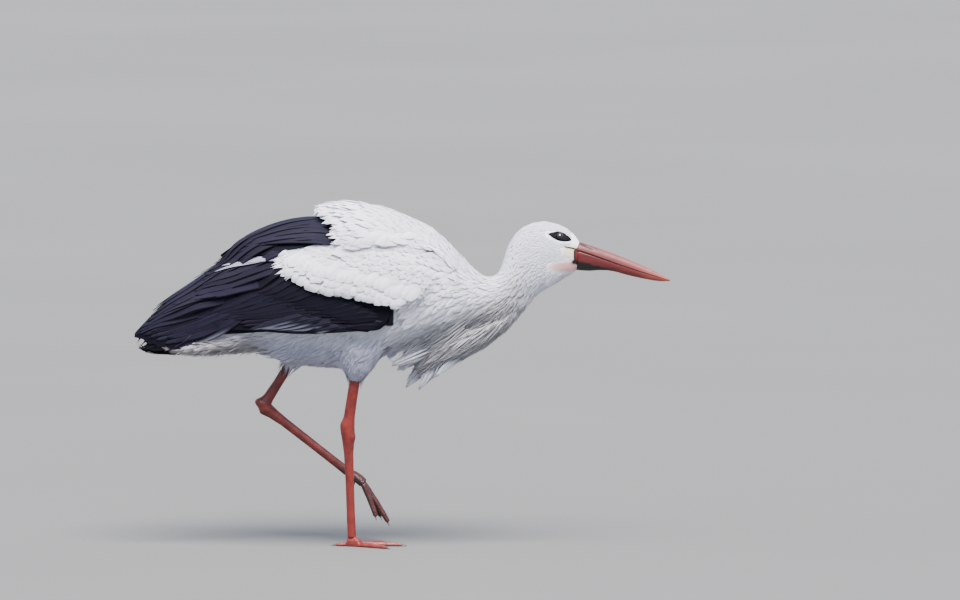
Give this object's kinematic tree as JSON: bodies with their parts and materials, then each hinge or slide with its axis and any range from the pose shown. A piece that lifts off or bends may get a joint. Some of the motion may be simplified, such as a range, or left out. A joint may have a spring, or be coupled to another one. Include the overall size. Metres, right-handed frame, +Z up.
{
  "type": "white stork",
  "caption": "Life-size white stork in a slow walk with its head low, standing on one leg with the other raised.",
  "frame": {"origin": "on the floor under the middle of the bounding box", "axes": "+Z up, +X the way the bird walks and looks, +Y towards its left side"},
  "size_m": [0.964, 0.2218, 0.624],
  "materials": {
    "plumage_white": "soft matt white contour feathers",
    "plumage_black": "black flight feathers with a faint gloss",
    "leg_skin": "red scaly skin",
    "bill_horn": "red horn, satin",
    "claw_horn": "dark horn",
    "eye_dark": "wet dark brown eye"
  },
  "bodies": {
    "root": {"bill_lower": "bill_horn", "bill_upper": "bill_horn", "breast_plumes": "plumage_white", "claw_hind_left": "claw_horn", "claw_hind_right": "claw_horn", "claw_inner_left": "claw_horn", "claw_inner_right": "claw_horn", "claw_middle_left": "claw_horn", "claw_middle_right": "claw_horn", "claw_outer_left": "claw_horn", "claw_outer_right": "claw_horn", "eye_left": "eye_dark", "eye_right": "eye_dark", "head": "plumage_white", "hock_left": "leg_skin", "hock_right": "leg_skin", "mantle": "plumage_white", "neck_lower": "plumage_white", "neck_upper": "plumage_white", "palm_left": "leg_skin", "palm_right": "leg_skin", "scapulars_left": "plumage_black", "scapulars_right": "plumage_black", "tail": "plumage_white", "tarsus_left": "leg_skin", "tarsus_right": "leg_skin", "thigh_left": "plumage_white", "thigh_right": "plumage_white", "tibia_left": "leg_skin", "tibia_right": "leg_skin", "toe_hind_left": "leg_skin", "toe_hind_right": "leg_skin", "toe_inner_left": "leg_skin", "toe_inner_right": "leg_skin", "toe_middle_left": "leg_skin", "toe_middle_right": "leg_skin", "toe_outer_left": "leg_skin", "toe_outer_right": "leg_skin", "trunk": "plumage_white", "wing_coverts_left": "plumage_white", "wing_coverts_right": "plumage_white", "wing_primaries_left": "plumage_black", "wing_primaries_right": "plumage_black", "wing_secondaries_left": "plumage_black", "wing_secondaries_right": "plumage_black", "wing_tertials_left": "plumage_black", "wing_tertials_right": "plumage_black"}
  },
  "joints": []
}
